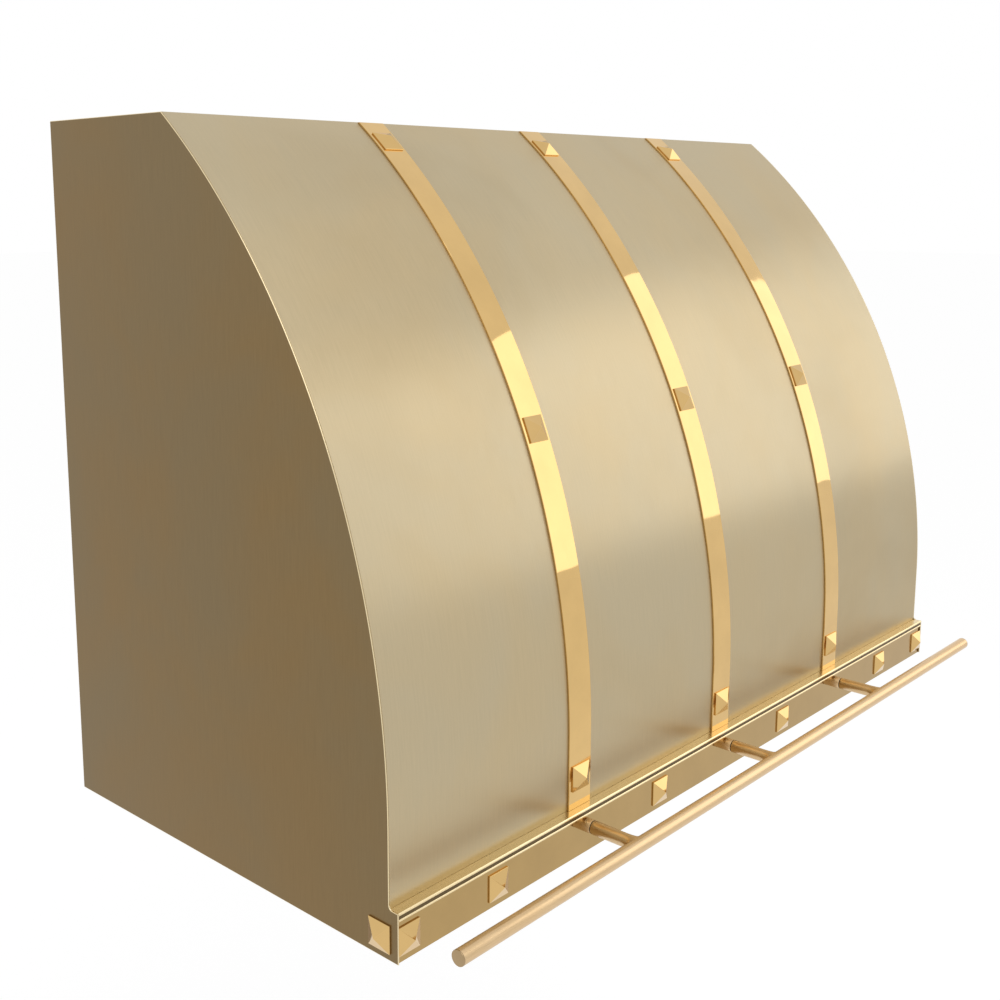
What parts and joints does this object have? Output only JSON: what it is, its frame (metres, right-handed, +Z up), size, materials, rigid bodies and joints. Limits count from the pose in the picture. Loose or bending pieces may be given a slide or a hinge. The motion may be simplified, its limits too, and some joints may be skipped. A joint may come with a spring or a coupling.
{
  "type": "range hood",
  "caption": "Wall range hood in brass sheet: barrel front with studded straps, pot rail, steel liner with sloped baffle filters, lamps, blower and damper.",
  "frame": {"origin": "middle of the bottom of the whole object's box", "axes": "+Z up, the front faces -Y, the wall is at +Y, X runs along the pot rail"},
  "size_m": [1.548, 0.8106, 1.041],
  "materials": {
    "side_brass": "satin, brushed upright",
    "barrel_brass": "satin, brushed upright",
    "panel_brass": "satin",
    "strap_brass": "mirror polished",
    "stud_brass": "mirror polished",
    "ledge_brass": "polished",
    "apron_brass": "mirror polished",
    "rail_brass": "satin",
    "liner_steel": "brushed",
    "filter_steel": "brushed",
    "knob_metal": "satin, fluted",
    "plated_steel": "zinc plated",
    "bolt_steel": "zinc plated",
    "motor_paint": "semi gloss",
    "lamp_glass": "frosted",
    "control_plastic": "matte",
    "bushing_rubber": "matte"
  },
  "bodies": {
    "hood": {"left_side_panel": "side_brass", "right_side_panel": "side_brass", "barrel_front": "barrel_brass", "top_panel": "panel_brass", "strap_left": "strap_brass", "strap_center": "strap_brass", "strap_right": "strap_brass", "strap_studs": "stud_brass", "apron_studs": "stud_brass", "side_studs": "stud_brass", "ledge_trim": "ledge_brass", "apron_band": "apron_brass", "pot_rail": "rail_brass", "rail_end_caps": "rail_brass", "rail_post_left": "rail_brass", "rail_post_center": "rail_brass", "rail_post_right": "rail_brass", "rail_spacers": "rail_brass", "liner_front_strip": "liner_steel", "liner_border_strips": "liner_steel", "canopy_walls": "liner_steel", "canopy_slopes": "liner_steel", "canopy_lid": "liner_steel", "filter_ledge": "liner_steel", "grease_trough": "liner_steel", "lamp_bezels": "liner_steel", "back_panel": "plated_steel", "mounting_bars": "plated_steel", "barrel_ribs": "plated_steel", "liner_brackets": "plated_steel", "motor_bracket": "plated_steel", "blower_casing": "plated_steel", "blower_side_plates": "plated_steel", "duct_transition": "plated_steel", "duct_collar": "plated_steel", "junction_box": "plated_steel", "stud_nuts": "bolt_steel", "rail_bolts": "bolt_steel", "liner_screws": "bolt_steel", "damper_rod": "bolt_steel", "motor": "motor_paint", "lamp_lenses": "lamp_glass", "control_box": "control_plastic", "cable_bushing": "bushing_rubber"},
    "rotor": {"impeller": "plated_steel", "impeller_blades": "plated_steel", "motor_shaft": "bolt_steel"},
    "front_flap": {"damper_flap_front": "plated_steel"},
    "rear_flap": {"damper_flap_rear": "plated_steel"},
    "filter_1": {"baffle_filter_1": "filter_steel"},
    "bail_1": {"filter_handle_1": "filter_steel"},
    "filter_2": {"baffle_filter_2": "filter_steel"},
    "bail_2": {"filter_handle_2": "filter_steel"},
    "filter_3": {"baffle_filter_3": "filter_steel"},
    "bail_3": {"filter_handle_3": "filter_steel"},
    "filter_4": {"baffle_filter_4": "filter_steel"},
    "bail_4": {"filter_handle_4": "filter_steel"},
    "cup": {"grease_cup": "liner_steel"},
    "fan_control": {"fan_knob": "knob_metal"},
    "light_control": {"light_knob": "knob_metal"}
  },
  "joints": [
    {"name": "impeller_spin", "type": "hinge", "parent": "hood", "child": "rotor", "pos_m": [0, 0.13525, 0.49], "axis": [1, 0, 0], "continuous": true},
    {"name": "front_flap_swing", "type": "hinge", "parent": "hood", "child": "front_flap", "pos_m": [0, 0.26525, 0.93], "axis": [-1, 0, 0], "range_deg": [0, 75]},
    {"name": "rear_flap_swing", "type": "hinge", "parent": "hood", "child": "rear_flap", "pos_m": [0, 0.26525, 0.93], "axis": [1, 0, 0], "range_deg": [0, 75]},
    {"name": "filter_1_lift", "type": "slide", "parent": "hood", "child": "filter_1", "axis": [0, 0.2079, 0.9781], "range_m": [0, 0.025]},
    {"name": "filter_2_lift", "type": "slide", "parent": "hood", "child": "filter_2", "axis": [0, 0.2079, 0.9781], "range_m": [0, 0.025]},
    {"name": "filter_3_lift", "type": "slide", "parent": "hood", "child": "filter_3", "axis": [0, 0.2079, 0.9781], "range_m": [0, 0.025]},
    {"name": "filter_4_lift", "type": "slide", "parent": "hood", "child": "filter_4", "axis": [0, 0.2079, 0.9781], "range_m": [0, 0.025]},
    {"name": "bail_1_swing", "type": "hinge", "parent": "filter_1", "child": "bail_1", "pos_m": [-0.531, -0.09882, 0.1328], "axis": [1, 0, 0], "range_deg": [-85, 65]},
    {"name": "bail_2_swing", "type": "hinge", "parent": "filter_2", "child": "bail_2", "pos_m": [-0.177, -0.09882, 0.1328], "axis": [1, 0, 0], "range_deg": [-85, 65]},
    {"name": "bail_3_swing", "type": "hinge", "parent": "filter_3", "child": "bail_3", "pos_m": [0.177, -0.09882, 0.1328], "axis": [1, 0, 0], "range_deg": [-85, 65]},
    {"name": "bail_4_swing", "type": "hinge", "parent": "filter_4", "child": "bail_4", "pos_m": [0.531, -0.09882, 0.1328], "axis": [1, 0, 0], "range_deg": [-85, 65]},
    {"name": "cup_slide", "type": "slide", "parent": "hood", "child": "cup", "axis": [0, -1, 0], "range_m": [0, 0.045]},
    {"name": "fan_knob_turn", "type": "hinge", "parent": "hood", "child": "fan_control", "pos_m": [-0.055, -0.23975, 0.012], "axis": [0, 0, -1], "range_deg": [0, 270]},
    {"name": "light_knob_turn", "type": "hinge", "parent": "hood", "child": "light_control", "pos_m": [0.055, -0.23975, 0.012], "axis": [0, 0, -1], "range_deg": [0, 270]}
  ]
}
